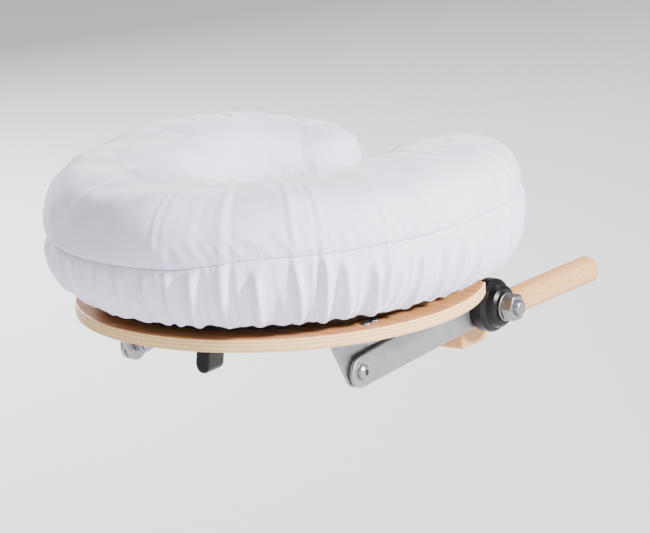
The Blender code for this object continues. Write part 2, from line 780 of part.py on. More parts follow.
def cam_lever():
    """Quick-release lever: a forked cam on a cross pin through the rod, its handle hanging down."""
    pin_length = 2 * CAM_HALF_WIDTH + 3 * MM
    pin_place = along_y(-CAM_PIN_X, HINGE_Y, HINGE_Z)
    pin_profile = rod_profile(CAM_PIN_RADIUS, pin_length, 0.4 * MM)
    turned("cam_pin", pin_profile, STEEL, None, pin_place, 16)
    # outline in the XZ plane, round the pin at the origin, with the handle bowing outwards below
    shape = arc((0, 0), CAM_RADIUS, 0, 180, 8)
    shape += [(-10 * MM, -12 * MM), (-15 * MM, -36 * MM), (-19 * MM, -LEVER_LENGTH + 6 * MM)]
    shape += arc((-13 * MM, -LEVER_LENGTH + 5 * MM), 5.5 * MM, 180, 350, 6)
    shape += [(-4 * MM, -40 * MM), (2 * MM, -22 * MM), (6 * MM, -12 * MM)]
    matrix = Matrix(((1, 0, 0, -CAM_PIN_X), (0, 0, 1, HINGE_Y), (0, 1, 0, HINGE_Z), (0, 0, 0, 1)))
    lever = plate(
        "cam_lever", shape, [], 2 * CAM_HALF_WIDTH, BLACK_PLASTIC, None, matrix, edge=1.5 * MM
    )
    lever = curve_to_mesh(lever)
    hole = cylinder(
        "pin_hole", CAM_PIN_RADIUS + GAP, 4 * CAM_HALF_WIDTH, pin_place, STEEL, None, CUTTERS, 16
    )
    boolean(lever, as_cutter(hole), "DIFFERENCE")
    slot = box(
        "rod_slot",
        (-CAM_PIN_X - 30 * MM, HINGE_Y - CAM_SLOT_HALF, HINGE_Z - 10 * MM),
        (-CAM_PIN_X + 30 * MM, HINGE_Y + CAM_SLOT_HALF, HINGE_Z + 30 * MM),
        STEEL,
        None,
        CUTTERS,
    )
    boolean(lever, as_cutter(slot), "DIFFERENCE")


def build():
    cover_top()
    cover_skirt()
    hem_elastic()
    upholstery()
    base_panel()
    foam_layers()
    hook_and_loop()
    platform()
    platform_screws()
    for side, sign in (("left", -1), ("right", 1)):
        ear(side, sign)
        arm(side, sign)
        pivot_hardware(side, sign)
    crossbar()
    posts()
    hinge_hardware()
    cam_lever()


build()
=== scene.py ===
"""Looks of a massage table face cradle: a crescent cushion in a fitted cotton cover, on its frame.

The frame's hard pieces keep their CAD meshes and get materials and softened edges here. The cover,
the vinyl and the foams are rebuilt on one crescent grid and replace their plain CAD solids.
"""

import json
import math

import bmesh
import bpy
import numpy as np
from mathutils import Matrix, Vector

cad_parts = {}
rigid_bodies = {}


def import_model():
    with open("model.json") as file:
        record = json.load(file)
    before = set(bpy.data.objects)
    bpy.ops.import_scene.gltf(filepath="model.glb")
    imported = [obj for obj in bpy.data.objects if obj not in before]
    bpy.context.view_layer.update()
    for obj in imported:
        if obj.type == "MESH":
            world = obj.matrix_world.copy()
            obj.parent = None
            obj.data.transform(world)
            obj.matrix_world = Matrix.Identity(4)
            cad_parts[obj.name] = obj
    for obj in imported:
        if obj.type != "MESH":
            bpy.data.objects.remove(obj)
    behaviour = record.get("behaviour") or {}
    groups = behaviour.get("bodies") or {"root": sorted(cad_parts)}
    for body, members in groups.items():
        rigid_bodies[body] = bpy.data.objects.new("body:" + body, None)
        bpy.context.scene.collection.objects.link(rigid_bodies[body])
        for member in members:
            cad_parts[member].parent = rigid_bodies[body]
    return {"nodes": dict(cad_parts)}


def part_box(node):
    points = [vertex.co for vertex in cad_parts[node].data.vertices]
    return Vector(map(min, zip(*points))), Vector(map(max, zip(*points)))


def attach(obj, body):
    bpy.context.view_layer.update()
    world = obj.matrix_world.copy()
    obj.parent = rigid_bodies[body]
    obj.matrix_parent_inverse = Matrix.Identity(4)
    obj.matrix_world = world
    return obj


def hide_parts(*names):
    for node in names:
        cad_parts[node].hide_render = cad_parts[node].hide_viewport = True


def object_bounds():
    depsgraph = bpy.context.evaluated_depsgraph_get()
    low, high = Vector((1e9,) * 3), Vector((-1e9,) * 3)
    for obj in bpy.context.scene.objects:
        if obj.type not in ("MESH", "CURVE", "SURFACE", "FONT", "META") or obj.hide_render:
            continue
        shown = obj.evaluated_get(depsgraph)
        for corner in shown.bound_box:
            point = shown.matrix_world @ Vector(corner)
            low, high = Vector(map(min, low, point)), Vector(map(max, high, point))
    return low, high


for old in list(bpy.data.objects):
    bpy.data.objects.remove(old, do_unlink=True)
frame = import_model()
CAD_BOX = [list(corner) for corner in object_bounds()]
NODES = frame["nodes"]

MM = 0.001

# The platform's own frame: its centre and its underside
PLATFORM_LOW, PLATFORM_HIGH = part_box("platform_ring")
PLATFORM_RADIUS_Y = 141 * MM
PLATFORM_ORIGIN = np.array([0.0, PLATFORM_LOW.y + PLATFORM_RADIUS_Y, PLATFORM_LOW.z])

# The crescent, in the platform's frame
CRESCENT_X = 105 * MM
CRESCENT_Y = 123 * MM
CRESCENT_CENTRE_Y = 15 * MM
CRESCENT_END = math.radians(145)
HALF_WIDTH = 54 * MM
TIP_NARROWING = 10 * MM
TIP_SLUMP = 14 * MM
SLUMP_START = math.radians(95)
WIDEST_Z = 57 * MM
CROWN_Z = 104 * MM
SEAT_Z = 12.5 * MM
SEAT_FALL = 0.91
CROWN_POWER = 3.0

# The cover's seam, which climbs towards one side and dips on the other, and its hem
SEAM_Z = 68 * MM
SEAM_RISE = 5 * MM
SEAM_DIP = 5.5 * MM
SEAM_CLIMB_AZIMUTH = math.radians(35)
SEAM_CLIMB_REACH = 165 * MM
HEM_Z = 18.6 * MM
HEM_ROLL = 2.1 * MM
HEM_SLOPE = math.radians(48)

# ---------------------------------------------------------------- camera, light and floor

VIEW_AZIMUTH = math.radians(35)
VIEW_ELEVATION = math.radians(14)
VIEW_ROLL = math.radians(-3)
VIEW_DISTANCE = 4.9
VIEW_WIDTH = 0.445
SENSOR = 36.0
FLOOR_REACH = 14.0
FLOOR_DEPTH = -0.36


def camera():
    low, high = (Vector(corner) for corner in CAD_BOX)
    target = (low + high) / 2 + Vector((0.0, 0.0, 0.004))
    back = Vector(
        (
            math.sin(VIEW_AZIMUTH) * math.cos(VIEW_ELEVATION),
            -math.cos(VIEW_AZIMUTH) * math.cos(VIEW_ELEVATION),
            math.sin(VIEW_ELEVATION),
        )
    )
    data = bpy.data.cameras.new("camera")
    data.sensor_width = SENSOR
    data.lens = SENSOR * VIEW_DISTANCE / VIEW_WIDTH
    data.clip_end = 100
    obj = bpy.data.objects.new("camera", data)
    obj.location = target + back * VIEW_DISTANCE
    turn = (-back).to_track_quat("-Z", "Y").to_matrix().to_4x4()
    obj.rotation_euler = (turn @ Matrix.Rotation(VIEW_ROLL, 4, "Z")).to_euler()
    bpy.context.scene.collection.objects.link(obj)
    bpy.context.scene.camera = obj


def area_light(name, place, aim, size, power, color):
    data = bpy.data.lights.new(name, "AREA")
    data.shape = "DISK"
    data.size = size
    data.energy = power
    data.color = color
    obj = bpy.data.objects.new(name, data)
    obj.location = place
    obj.rotation_euler = (Vector(aim) - Vector(place)).to_track_quat("-Z", "Y").to_euler()
    bpy.context.scene.collection.objects.link(obj)


def studio():
    middle = (0.0, -0.08, 0.05)
    area_light("key", (2.3, 0.1, 1.2), middle, 0.4, 235, (1.0, 0.985, 0.97))
    area_light("front", (1.2, -2.3, 0.15), middle, 0.6, 40, (0.98, 0.98, 1.0))
    area_light("side", (-2.0, 1.1, 0.55), middle, 0.4, 95, (0.97, 0.98, 1.0))
    area_light("top", (-0.5, -0.2, 2.5), middle, 0.9, 40, (0.98, 0.98, 1.0))
    world = bpy.data.worlds.new("studio")
    world.use_nodes = True
    background = world.node_tree.nodes["Background"]
    background.inputs["Color"].default_value = (0.95, 0.96, 1.0, 1)
    background.inputs["Strength"].default_value = 0.38
    bpy.context.scene.world = world


def floor():
    bm = bmesh.new()
    corners = ((-1, -1), (1, -1), (1, 1), (-1, 1))
    bm.faces.new([bm.verts.new((x * FLOOR_REACH, y * FLOOR_REACH, FLOOR_DEPTH)) for x, y in corners])
    mesh_object("floor", bm, FLOOR)


# ---------------------------------------------------------------- materials


class Surface:
    """A Principled material and short calls for the procedural nodes that feed it."""

    def __init__(self, name, color, roughness, metallic=0.0, **constants):
        self.material = bpy.data.materials.new(name)
        self.material.use_nodes = True
        self.tree = self.material.node_tree
        self.shader = self.tree.nodes["Principled BSDF"]
        self.color = (*color, 1.0)
        self.set("Base Color", self.color)
        self.set("Roughness", roughness)
        self.set("Metallic", metallic)
        for key, value in constants.items():
            self.set(key.replace("_", " "), value)
        self.points = self.tree.nodes.new("ShaderNodeTexCoord")
        self.height = None

    def set(self, socket, value):
        self.shader.inputs[socket].default_value = value

    def node(self, kind, **settings):
        made = self.tree.nodes.new(kind)
        for key, value in settings.items():
            setattr(made, key, value)
        return made

    def link(self, output, target):
        self.tree.links.new(output, target)

    def place(self, scale=(1, 1, 1), rotation=(0, 0, 0), source="Object"):
        """Texture coordinates, stretched by scale."""
        mapping = self.node("ShaderNodeMapping")
        mapping.inputs["Scale"].default_value = scale
        mapping.inputs["Rotation"].default_value = rotation
        self.link(self.points.outputs[source], mapping.inputs["Vector"])
        return mapping.outputs["Vector"]

    def noise(self, size, detail=4.0, stretch=(1, 1, 1), rotation=(0, 0, 0), rough=0.5, source="Object"):
        """Noise whose features are about size metres across."""
        made = self.node("ShaderNodeTexNoise")
        made.inputs["Scale"].default_value = 1.0 / size
        made.inputs["Detail"].default_value = detail
        made.inputs["Roughness"].default_value = rough
        self.link(self.place(stretch, rotation, source), made.inputs["Vector"])
        return made.outputs["Fac"]

    def cells(self, size, feature="F1", stretch=(1, 1, 1), source="Object"):
        made = self.node("ShaderNodeTexVoronoi", feature=feature)
        made.inputs["Scale"].default_value = 1.0 / size
        self.link(self.place(stretch, source=source), made.inputs["Vector"])
        return made.outputs["Distance"]

    def bands(self, size, axis, distortion=0.0, detail=2.0, source="Object", scale=(1, 1, 1)):
        """Sine bands of size metres from crest to crest."""
        made = self.node("ShaderNodeTexWave", wave_type="BANDS", bands_direction=axis)
        made.inputs["Scale"].default_value = math.tau / 20.0 / size
        made.inputs["Distortion"].default_value = distortion
        made.inputs["Detail"].default_value = detail
        self.link(self.place(scale, source=source), made.inputs["Vector"])
        return made.outputs["Fac"]

    def math(self, kind, first, second):
        made = self.node("ShaderNodeMath", operation=kind)
        for socket, value in zip(made.inputs, (first, second)):
            if isinstance(value, (int, float)):
                socket.default_value = value
            else:
                self.link(value, socket)
        return made.outputs[0]

    def spread(self, value, low, high, start=0.0, end=1.0):
        """Maps a value from one range to another."""
        made = self.node("ShaderNodeMapRange")
        for socket, number in zip(("From Min", "From Max", "To Min", "To Max"), (start, end, low, high)):
            made.inputs[socket].default_value = number
        self.link(value, made.inputs["Value"])
        return made.outputs["Result"]

    def tint(self, value, first, second, start=0.3, end=0.7):
        """A colour between first and second, by value."""
        ramp = self.node("ShaderNodeValToRGB")
        ramp.color_ramp.elements[0].position = start
        ramp.color_ramp.elements[1].position = end
        ramp.color_ramp.elements[0].color = (*first, 1)
        ramp.color_ramp.elements[1].color = (*second, 1)
        self.link(value, ramp.inputs["Fac"])
        return ramp.outputs["Color"]

    def mix(self, factor, first, second, blend="MIX"):
        made = self.node("ShaderNodeMix", data_type="RGBA", blend_type=blend)
        colors = (made.inputs[6], made.inputs[7])
        for socket, value in zip((made.inputs[0], *colors), (factor, first, second)):
            if isinstance(value, (int, float, tuple)):
                socket.default_value = value
            else:
                self.link(value, socket)
        return made.outputs[2]

    def paint(self, color):
        self.link(color, self.shader.inputs["Base Color"])

    def gloss(self, value, low, high):
        self.link(self.spread(value, low, high), self.shader.inputs["Roughness"])

    def bump(self, value, depth, strength=1.0):
        """Adds relief of a depth in metres on top of what is there."""
        made = self.node("ShaderNodeBump")
        made.inputs["Distance"].default_value = depth
        made.inputs["Strength"].default_value = strength
        self.link(value, made.inputs["Height"])
        if self.height is not None:
            self.link(self.height, made.inputs["Normal"])
        self.height = made.outputs["Normal"]
        self.link(self.height, self.shader.inputs["Normal"])


def cotton(name, color=(0.72, 0.70, 0.85), gathered=False):
    """White plain-weave cotton; the weave follows the cloth's own directions, as fine gathers do."""
    made = Surface(name, color, 0.88, Sheen_Weight=0.25, Sheen_Roughness=0.45, Specular_IOR_Level=0.25)
    soft = made.noise(0.05, 3)
    shade = made.tint(soft, tuple(0.95 * c for c in color), tuple(min(1, 1.03 * c) for c in color))
    warp = made.bands(0.9 * MM, "X", 0.6, 1, "UV")
    weft = made.bands(0.9 * MM, "Y", 0.6, 1, "UV")
    weave = made.math("MULTIPLY", warp, weft)
    slub = made.noise(3 * MM, 2, (0.25, 1, 1), source="UV")
    thread = made.tint(weave, (0.93, 0.93, 0.93), (1, 1, 1), 0.0, 0.6)
    made.paint(made.mix(0.55, shade, thread, "MULTIPLY"))
    made.gloss(slub, 0.82, 0.95)
    made.bump(made.noise(9 * MM, 3), 0.5 * MM, 0.35)
    if gathered:
        made.bump(made.noise(6 * MM, 1, (1, 0.12, 1), source="UV"), 1.6 * MM, 0.5)
    made.bump(slub, 0.12 * MM, 0.4)
    made.bump(weave, 0.12 * MM, 0.55)
    return made.material


def vinyl():
    """Black upholstery vinyl with a fine pebbled grain."""
    made = Surface("vinyl", (0.006, 0.006, 0.007), 0.4, Specular_IOR_Level=0.3, Coat_Weight=0.05)
    made.paint(made.tint(made.noise(0.03, 3), (0.005, 0.005, 0.006), (0.009, 0.009, 0.010)))
    grain = made.cells(1.1 * MM, "SMOOTH_F1")
    made.gloss(made.noise(4 * MM, 3), 0.34, 0.5)
    made.bump(made.noise(12 * MM, 2), 0.5 * MM, 0.3)
    made.bump(grain, 0.18 * MM, 0.6)
    return made.material


def elastic():
    """White braided elastic."""
    made = Surface("elastic", (0.8, 0.79, 0.82), 0.8, Sheen_Weight=0.2)
    strands = made.bands(1.1 * MM, "DIAGONAL", 0, 0, "UV")
    braid = made.math("MULTIPLY", strands, made.bands(1.4 * MM, "X", 0, 0, "UV"))
    made.paint(made.tint(braid, (0.62, 0.61, 0.65), (0.84, 0.83, 0.86), 0.1, 0.7))
    made.gloss(braid, 0.9, 0.7)
    made.bump(braid, 0.25 * MM, 0.9)
    return made.material


def foam(name, color, pore):
    """Open-cell foam with fine pores."""
    made = Surface(name, color, 0.95, Specular_IOR_Level=0.1)
    pores = made.cells(pore)
    made.paint(made.tint(pores, tuple(0.72 * c for c in color), color, 0.05, 0.5))
    made.gloss(made.noise(8 * MM), 0.88, 1.0)
    made.bump(pores, pore * 0.5, 0.8)
    made.bump(made.noise(14 * MM, 3), 0.8 * MM, 0.3)
    return made.material


def tape(name, hooks):
    """Black hook tape in rows, or loop tape with a tangled pile."""
    made = Surface(name, (0.008, 0.008, 0.009), 0.9, Specular_IOR_Level=0.15, Sheen_Weight=0.03)
    relief = made.cells(0.9 * MM) if hooks else made.noise(0.7 * MM, 5, rough=0.7)
    made.paint(made.tint(relief, (0.003, 0.003, 0.0035), (0.016, 0.016, 0.018), 0.1, 0.7))
    made.gloss(relief, 0.7, 0.95)
    made.bump(relief, 0.5 * MM, 1.0)
    return made.material


def plywood():
    """Lacquered beech plywood: veneer grain on the faces, pale plies along the edge."""
    made = Surface("plywood", (0.66, 0.40, 0.23), 0.5, Specular_IOR_Level=0.25, Coat_Weight=0.06)
    made.set("Coat Roughness", 0.4)
    grain = made.noise(9 * MM, 6, (0.08, 1, 1), rough=0.6)
    rings = made.bands(11 * MM, "Y", 5.0, 3, scale=(0.25, 1, 1))
    flecks = made.noise(1.3 * MM, 2, (0.18, 1, 1))
    face = made.tint(grain, (0.52, 0.20, 0.075), (0.70, 0.33, 0.14), 0.25, 0.75)
    face = made.mix(0.35, face, made.tint(rings, (0.50, 0.20, 0.08), (0.72, 0.36, 0.16), 0.1, 0.9))
    face = made.mix(0.5, face, made.tint(flecks, (0.82, 0.78, 0.74), (1, 1, 1), 0.35, 0.55), "MULTIPLY")
    plies = made.bands(2.57 * MM, "Z", 0.25, 1)
    edge = made.tint(plies, (0.66, 0.40, 0.17), (0.80, 0.55, 0.27), 0.35, 0.65)
    streak = made.noise(5 * MM, 4, (1, 1, 0.15))
    edge = made.mix(0.5, edge, made.tint(streak, (0.80, 0.77, 0.72), (1, 1, 1), 0.3, 0.65), "MULTIPLY")
    normal = made.node("ShaderNodeSeparateXYZ")
    made.link(made.points.outputs["Normal"], normal.inputs[0])
    upright = made.math("ABSOLUTE", normal.outputs["Z"], 0)
    flat = made.spread(upright, 0, 1, 0.6, 0.85)
    made.paint(made.mix(flat, edge, face))
    made.gloss(grain, 0.46, 0.62)
    made.bump(grain, 0.15 * MM, 0.4)
    made.bump(plies, 0.12 * MM, 0.35)
    made.bump(flecks, 0.05 * MM, 0.5)
    return made.material


def beech(name, along):
    """Clear-lacquered beech with its short dark flecks; along is the grain's direction."""
    made = Surface(name, (0.66, 0.42, 0.23), 0.45, Specular_IOR_Level=0.3, Coat_Weight=0.1)
    made.set("Coat Roughness", 0.35)
    stretch = tuple(0.07 if axis == along else 1.0 for axis in "XYZ")
    grain = made.noise(8 * MM, 6, stretch, rough=0.6)
    flecks = made.noise(1.1 * MM, 2, tuple(0.16 if axis == along else 1.0 for axis in "XYZ"))
    base = made.tint(grain, (0.52, 0.25, 0.09), (0.72, 0.40, 0.18), 0.25, 0.75)
    made.paint(made.mix(0.6, base, made.tint(flecks, (0.70, 0.62, 0.55), (1, 1, 1), 0.38, 0.55), "MULTIPLY"))
    made.gloss(grain, 0.4, 0.56)
    made.bump(grain, 0.15 * MM, 0.4)
    made.bump(flecks, 0.06 * MM, 0.6)
    return made.material


def aluminium():
    """Satin aluminium, brushed along its length, a little scuffed."""
    made = Surface("aluminium", (0.35, 0.35, 0.36), 0.42, 1.0)
    brushed = made.noise(0.5 * MM, 2, (1, 0.02, 1))
    scuffs = made.noise(18 * MM, 5, rough=0.65)
    made.paint(made.tint(scuffs, (0.29, 0.29, 0.30), (0.41, 0.41, 0.42), 0.3, 0.7))
    made.link(
        made.math("ADD", made.spread(brushed, 0.0, 0.14), made.spread(scuffs, 0.30, 0.44)),
        made.shader.inputs["Roughness"],
    )
    made.bump(brushed, 0.03 * MM, 0.6)
    made.bump(scuffs, 0.1 * MM, 0.15)
    return made.material


def steel():
    """Bright zinc plate with faint clouding."""
    made = Surface("steel", (0.32, 0.32, 0.33), 0.22, 1.0)
    cloud = made.noise(2.5 * MM, 4, rough=0.6)
    made.paint(made.tint(cloud, (0.25, 0.25, 0.27), (0.38, 0.38, 0.38)))
    made.gloss(cloud, 0.3, 0.46)
    made.bump(cloud, 0.05 * MM, 0.3)
    return made.material


def plastic():
    """Moulded black nylon, semi-gloss, with light handling wear."""
    made = Surface("plastic", (0.004, 0.004, 0.0045), 0.3, Specular_IOR_Level=0.22)
    wear = made.noise(7 * MM, 5, rough=0.7)
    made.paint(made.tint(wear, (0.003, 0.003, 0.0035), (0.007, 0.007, 0.0075)))
    made.gloss(wear, 0.22, 0.42)
    made.bump(made.noise(0.6 * MM, 2), 0.04 * MM, 0.5)
    made.bump(wear, 0.1 * MM, 0.2)
    return made.material


def nylon():
    """Natural nylon washer."""
    made = Surface("nylon", (0.84, 0.83, 0.77), 0.5, Subsurface_Weight=0.1)
    cloud = made.noise(3 * MM)
    made.paint(made.tint(cloud, (0.78, 0.77, 0.70), (0.88, 0.87, 0.82)))
    made.gloss(cloud, 0.4, 0.6)
    made.bump(cloud, 0.06 * MM, 0.3)
    return made.material


def thread():
    """White sewing thread."""
    made = Surface("thread", (0.86, 0.85, 0.88), 0.75, Sheen_Weight=0.2)
    twist = made.noise(0.4 * MM, 1)
    made.paint(made.tint(twist, (0.74, 0.73, 0.78), (0.90, 0.89, 0.92)))
    made.gloss(twist, 0.65, 0.85)
    made.bump(twist, 0.08 * MM, 0.6)
    return made.material


def pale_floor():
    made = Surface("pale_floor", (0.66, 0.66, 0.68), 0.85, Specular_IOR_Level=0.1)
    made.set("Emission Color", (1, 1, 1, 1))
    made.set("Emission Strength", 0.16)
    made.paint(made.tint(made.noise(0.6, 2), (0.65, 0.65, 0.67), (0.67, 0.67, 0.69)))
    return made.material


# ---------------------------------------------------------------- the crescent as a grid


def mesh_object(name, bm, surface):
    mesh = bpy.data.meshes.new(name)
    bm.to_mesh(mesh)
    bm.free()
    mesh.materials.append(surface)
    obj = bpy.data.objects.new(name, mesh)
    bpy.context.scene.collection.objects.link(obj)
    return obj


def smoothstep(value):
    value = np.clip(value, 0.0, 1.0)
    return value * value * (3 - 2 * value)


class Outline:
    """Columns round the crescent: its outer side, a round tip, its inner side and the other tip."""

    def __init__(self, side_steps, cap_steps):
        theta = np.linspace(-CRESCENT_END, CRESCENT_END, side_steps + 1)
        sweep = np.pi * np.arange(1, cap_steps + 1) / (cap_steps + 1)
        ends = np.full(cap_steps, CRESCENT_END)
        self.theta = np.concatenate([theta, ends, theta[::-1], -ends])
        flat = np.zeros(side_steps + 1)
        self.turn = np.concatenate([flat, sweep, flat + np.pi, sweep + np.pi])
        self.count = len(self.theta)
        self.tip_column = side_steps + 1 + cap_steps // 2
        t = self.theta
        self.centre = np.stack(
            [CRESCENT_X * np.sin(t), CRESCENT_CENTRE_Y - CRESCENT_Y * np.cos(t)], axis=1
        )
        tangent = np.stack([CRESCENT_X * np.cos(t), CRESCENT_Y * np.sin(t)], axis=1)
        tangent /= np.linalg.norm(tangent, axis=1)[:, None]
        normal = np.stack([tangent[:, 1], -tangent[:, 0]], axis=1)
        self.out = normal * np.cos(self.turn)[:, None] + tangent * np.sin(self.turn)[:, None]
        self.half = HALF_WIDTH - TIP_NARROWING * (np.abs(t) / CRESCENT_END) ** 3
        self.tip = np.clip((np.abs(t) - SLUMP_START) / (CRESCENT_END - SLUMP_START), 0, None)
        widest = self.centre + self.out * self.half[:, None]
        steps = np.linalg.norm(np.roll(widest, -1, axis=0) - widest, axis=1)
        self.along = np.concatenate([[0], np.cumsum(steps)[:-1]])
        self.round = steps.sum()
        self.inner = np.cos(self.turn) < -0.5

    def points(self, scale, z, inset=0.0):
        """World points at a share of the half-width and a height; both may be grids of rows and columns."""
        reach = np.maximum(self.half * scale - inset, 0.25 * MM)
        flat = self.centre + self.out * reach[..., None]
        rise = np.clip((z - SEAT_Z) / (CROWN_Z - SEAT_Z), 0, None)
        slump = TIP_SLUMP * self.tip**2 * rise**2
        return np.concatenate([flat, (z - slump)[..., None]], axis=-1) + PLATFORM_ORIGIN


class Section:
    """The padded section from its seat to its crown, by length along its curve."""

    def __init__(self, low, crown=CROWN_Z):
        lower = np.linspace(low, WIDEST_Z, 200)
        share = (WIDEST_Z - lower) / (WIDEST_Z - SEAT_Z) * SEAT_FALL
        angle = np.radians(np.linspace(0.2, 89.2, 300))
        upper = WIDEST_Z + (crown - WIDEST_Z) * np.sin(angle) ** (2 / CROWN_POWER)
        self.z = np.concatenate([lower, upper])
        self.scale = np.concatenate([np.sqrt(1 - share**2), np.cos(angle) ** (2 / CROWN_POWER)])
        steps = np.hypot(np.diff(self.scale * HALF_WIDTH), np.diff(self.z))
        self.length = np.concatenate([[0], np.cumsum(steps)])

    def at(self, length):
        return np.interp(length, self.length, self.scale), np.interp(length, self.length, self.z)

    def length_at(self, z):
        return np.interp(z, self.z, self.length)


def wavy(points, size, seed, waves=14):
    """Smooth noise of about unit height whose features are about size metres across."""
    draw = np.random.default_rng(seed)
    total = 0.0
    for _ in range(waves):
        direction = draw.normal(size=3)
        direction *= math.tau / size / np.linalg.norm(direction) * draw.uniform(0.6, 1.4)
        total = total + np.sin(points @ direction + draw.uniform(0, math.tau))
    return total / math.sqrt(waves / 2)


def grid_normals(points):
    """Outward unit normals of a grid whose columns run round and whose rows run up."""
    across = np.roll(points, -1, axis=1) - np.roll(points, 1, axis=1)
    up = np.gradient(points, axis=0)
    normal = np.cross(across, up)
    return normal / np.maximum(np.linalg.norm(normal, axis=-1), 1e-12)[..., None]


def grid_mesh(name, points, surface, uv=None, close_top=False, close_low=False, tip_column=0):
    """A mesh from a grid of rows and columns that closes round; its rows may be filled across at an end."""
    rows, count = points.shape[:2]
    index = np.arange(rows * count).reshape(rows, count)
    beside = np.roll(index, -1, axis=1)
    faces = np.stack([index[:-1], beside[:-1], beside[1:], index[1:]], axis=-1).reshape(-1, 4).tolist()
    for wanted, row in ((close_top, rows - 1), (close_low, 0)):
        if wanted:
            faces += across(index[row], tip_column, row == 0)
    mesh = bpy.data.meshes.new(name)
    mesh.from_pydata(points.reshape(-1, 3).tolist(), [], faces)
    mesh.shade_smooth()
    if uv is not None:
        layer = mesh.uv_layers.new(name="cloth")
        corner_vertex = np.empty(len(mesh.loops), np.int32)
        mesh.loops.foreach_get("vertex_index", corner_vertex)
        spots = uv.reshape(-1, 2)[corner_vertex]
        wraps = corner_vertex % count == 0
        face_last = np.repeat(
            np.array([max(v % count for v in f) == count - 1 for f in faces]),
            [len(f) for f in faces],
        )
        width = uv[..., 0].max() * count / (count - 1)
        spots[wraps & face_last, 0] += width
        layer.data.foreach_set("uv", spots.astype(np.float32).ravel())
    mesh.materials.append(surface)
    obj = bpy.data.objects.new(name, mesh)
    bpy.context.scene.collection.objects.link(obj)
    return obj


def across(loop, tip_column, flipped):
    """Faces that join a crescent ring's outer side to its inner side."""
    count = len(loop)
    faces = []
    for j in range(count // 2):
        corners = [loop[(tip_column + j) % count], loop[(tip_column + j + 1) % count]]
        corners += [loop[(tip_column - j - 1) % count], loop[(tip_column - j) % count]]
        face = list(dict.fromkeys(int(c) for c in corners))
        faces.append(face[::-1] if flipped else face)
    return faces


def subdivide(obj, levels=1):
    modifier = obj.modifiers.new("smooth", "SUBSURF")
    modifier.levels = levels
    modifier.render_levels = levels
    return obj


def ride_cushion(piece):
    """Makes a piece move with the cushion."""
    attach(piece, "cushion")


# ---------------------------------------------------------------- the cotton cover

COVER_SIDE_STEPS = 400
COVER_CAP_STEPS = 65
SKIRT_ROWS = 25
TOP_ROWS = 24
SEAM_ROW = SKIRT_ROWS - 1
HEM_STITCH_ROW = 4

# Each kind of fold: its spacing, width, height and start below the seam, as ranges in millimetres
DEEP_FOLDS = ((11, 27), (2.4, 4.2), (2.8, 5.4), (-6, 6))
SHALLOW_FOLDS = ((5, 11), (1.5, 2.4), (1.0, 2.4), (-6, 22))
FOLD_LIMITS = (-2.3 * MM, 4.6 * MM)

# The cloth simulation, and how far it may carry the cover in, out and in all
SETTLE_FRAMES = 20
SETTLE_PRESSURE = 4.0
SETTLE_IN = 0.6 * MM
SETTLE_OUT = 3.0 * MM
SETTLE_REACH = 5.0 * MM


def add_folds(heights, outline, below, draw, kind):
    """Adds vertical folds of one kind all round: a round ridge with a tight valley beside it."""
    steps, widths, sizes, starts = kind
    deep = below.max()
    position = draw.uniform(0, steps[0]) * MM
    while position < outline.round:
        column = int(np.searchsorted(outline.along, position)) % outline.count
        tight = 0.85 if outline.inner[column] else 1.0
        width = draw.uniform(*widths) * MM * tight
        height = draw.uniform(*sizes) * MM * tight
        start = draw.uniform(*starts) * MM
        side = draw.choice([-1, 1])
        slant = draw.normal(0, 0.06)
        bend = draw.normal(0, 1.2) * MM
        gap = outline.along - position
        gap = (gap + outline.round / 2) % outline.round - outline.round / 2
        drift = slant * below + bend * np.sin(below / deep * math.pi)
        spread = width * (1.0 + 0.35 * below / deep)
        rise = smoothstep((below - start) / (14 * MM))
        heights += height * rise * np.exp(-(((gap - drift) / spread) ** 2))
        valley = (gap - drift - side * 1.6 * spread) / (0.55 * spread)
        heights -= 0.5 * height * rise * np.exp(-(valley**2))
        position += draw.uniform(*steps) * MM * tight


def skirt_relief(outline, below, seam):
    """Vertical folds of the skirt in metres, by distance below the seam; they fade into the hem."""
    draw = np.random.default_rng(7)
    folds = np.zeros_like(below)
    add_folds(folds, outline, below, draw, DEEP_FOLDS)
    add_folds(folds, outline, below, draw, SHALLOW_FOLDS)
    folds = folds - 1.0 * MM * smoothstep(below / (16 * MM))
    near_hem = smoothstep((below - seam + 12 * MM) / (12 * MM))
    return np.clip(folds, *FOLD_LIMITS) * (1 - 0.62 * near_hem)


def seam_relief(outline, line, near_seam):
    """The groove of the seam and the small puckers its stitches pull on both sides of it."""
    groove = -1.5 * MM * np.exp(-((near_seam / (2.4 * MM)) ** 2))
    pucker = np.sin(outline.along / (4.6 * MM) * math.tau + 2 * wavy(line, 0.03, 3))
    return groove + 0.4 * MM * pucker * np.exp(-((near_seam / (5 * MM)) ** 2))


def panel_relief(outline, points, above):
    """Slanted creases just above the seam, and soft unevenness and fullness over the crown."""
    shoulder = np.exp(-(((above - 9 * MM) / (9 * MM)) ** 2)) * (above > 0)
    slanted = outline.along + 0.55 * above
    crease = np.sin(slanted / (11 * MM) * math.tau + 2.5 * wavy(points, 0.05, 11))
    crease = np.maximum(crease, -0.2) * smoothstep(0.5 + 0.6 * wavy(points, 0.09, 12))
    soft = 0.9 * MM * wavy(points, 0.085, 5) + 0.35 * MM * wavy(points, 0.03, 6)
    soft = soft * smoothstep(above / (20 * MM))
    full = 1.2 * MM * smoothstep(above / (12 * MM)) * smoothstep((120 * MM - above) / (60 * MM))
    return 0.9 * MM * crease * shoulder + soft + full


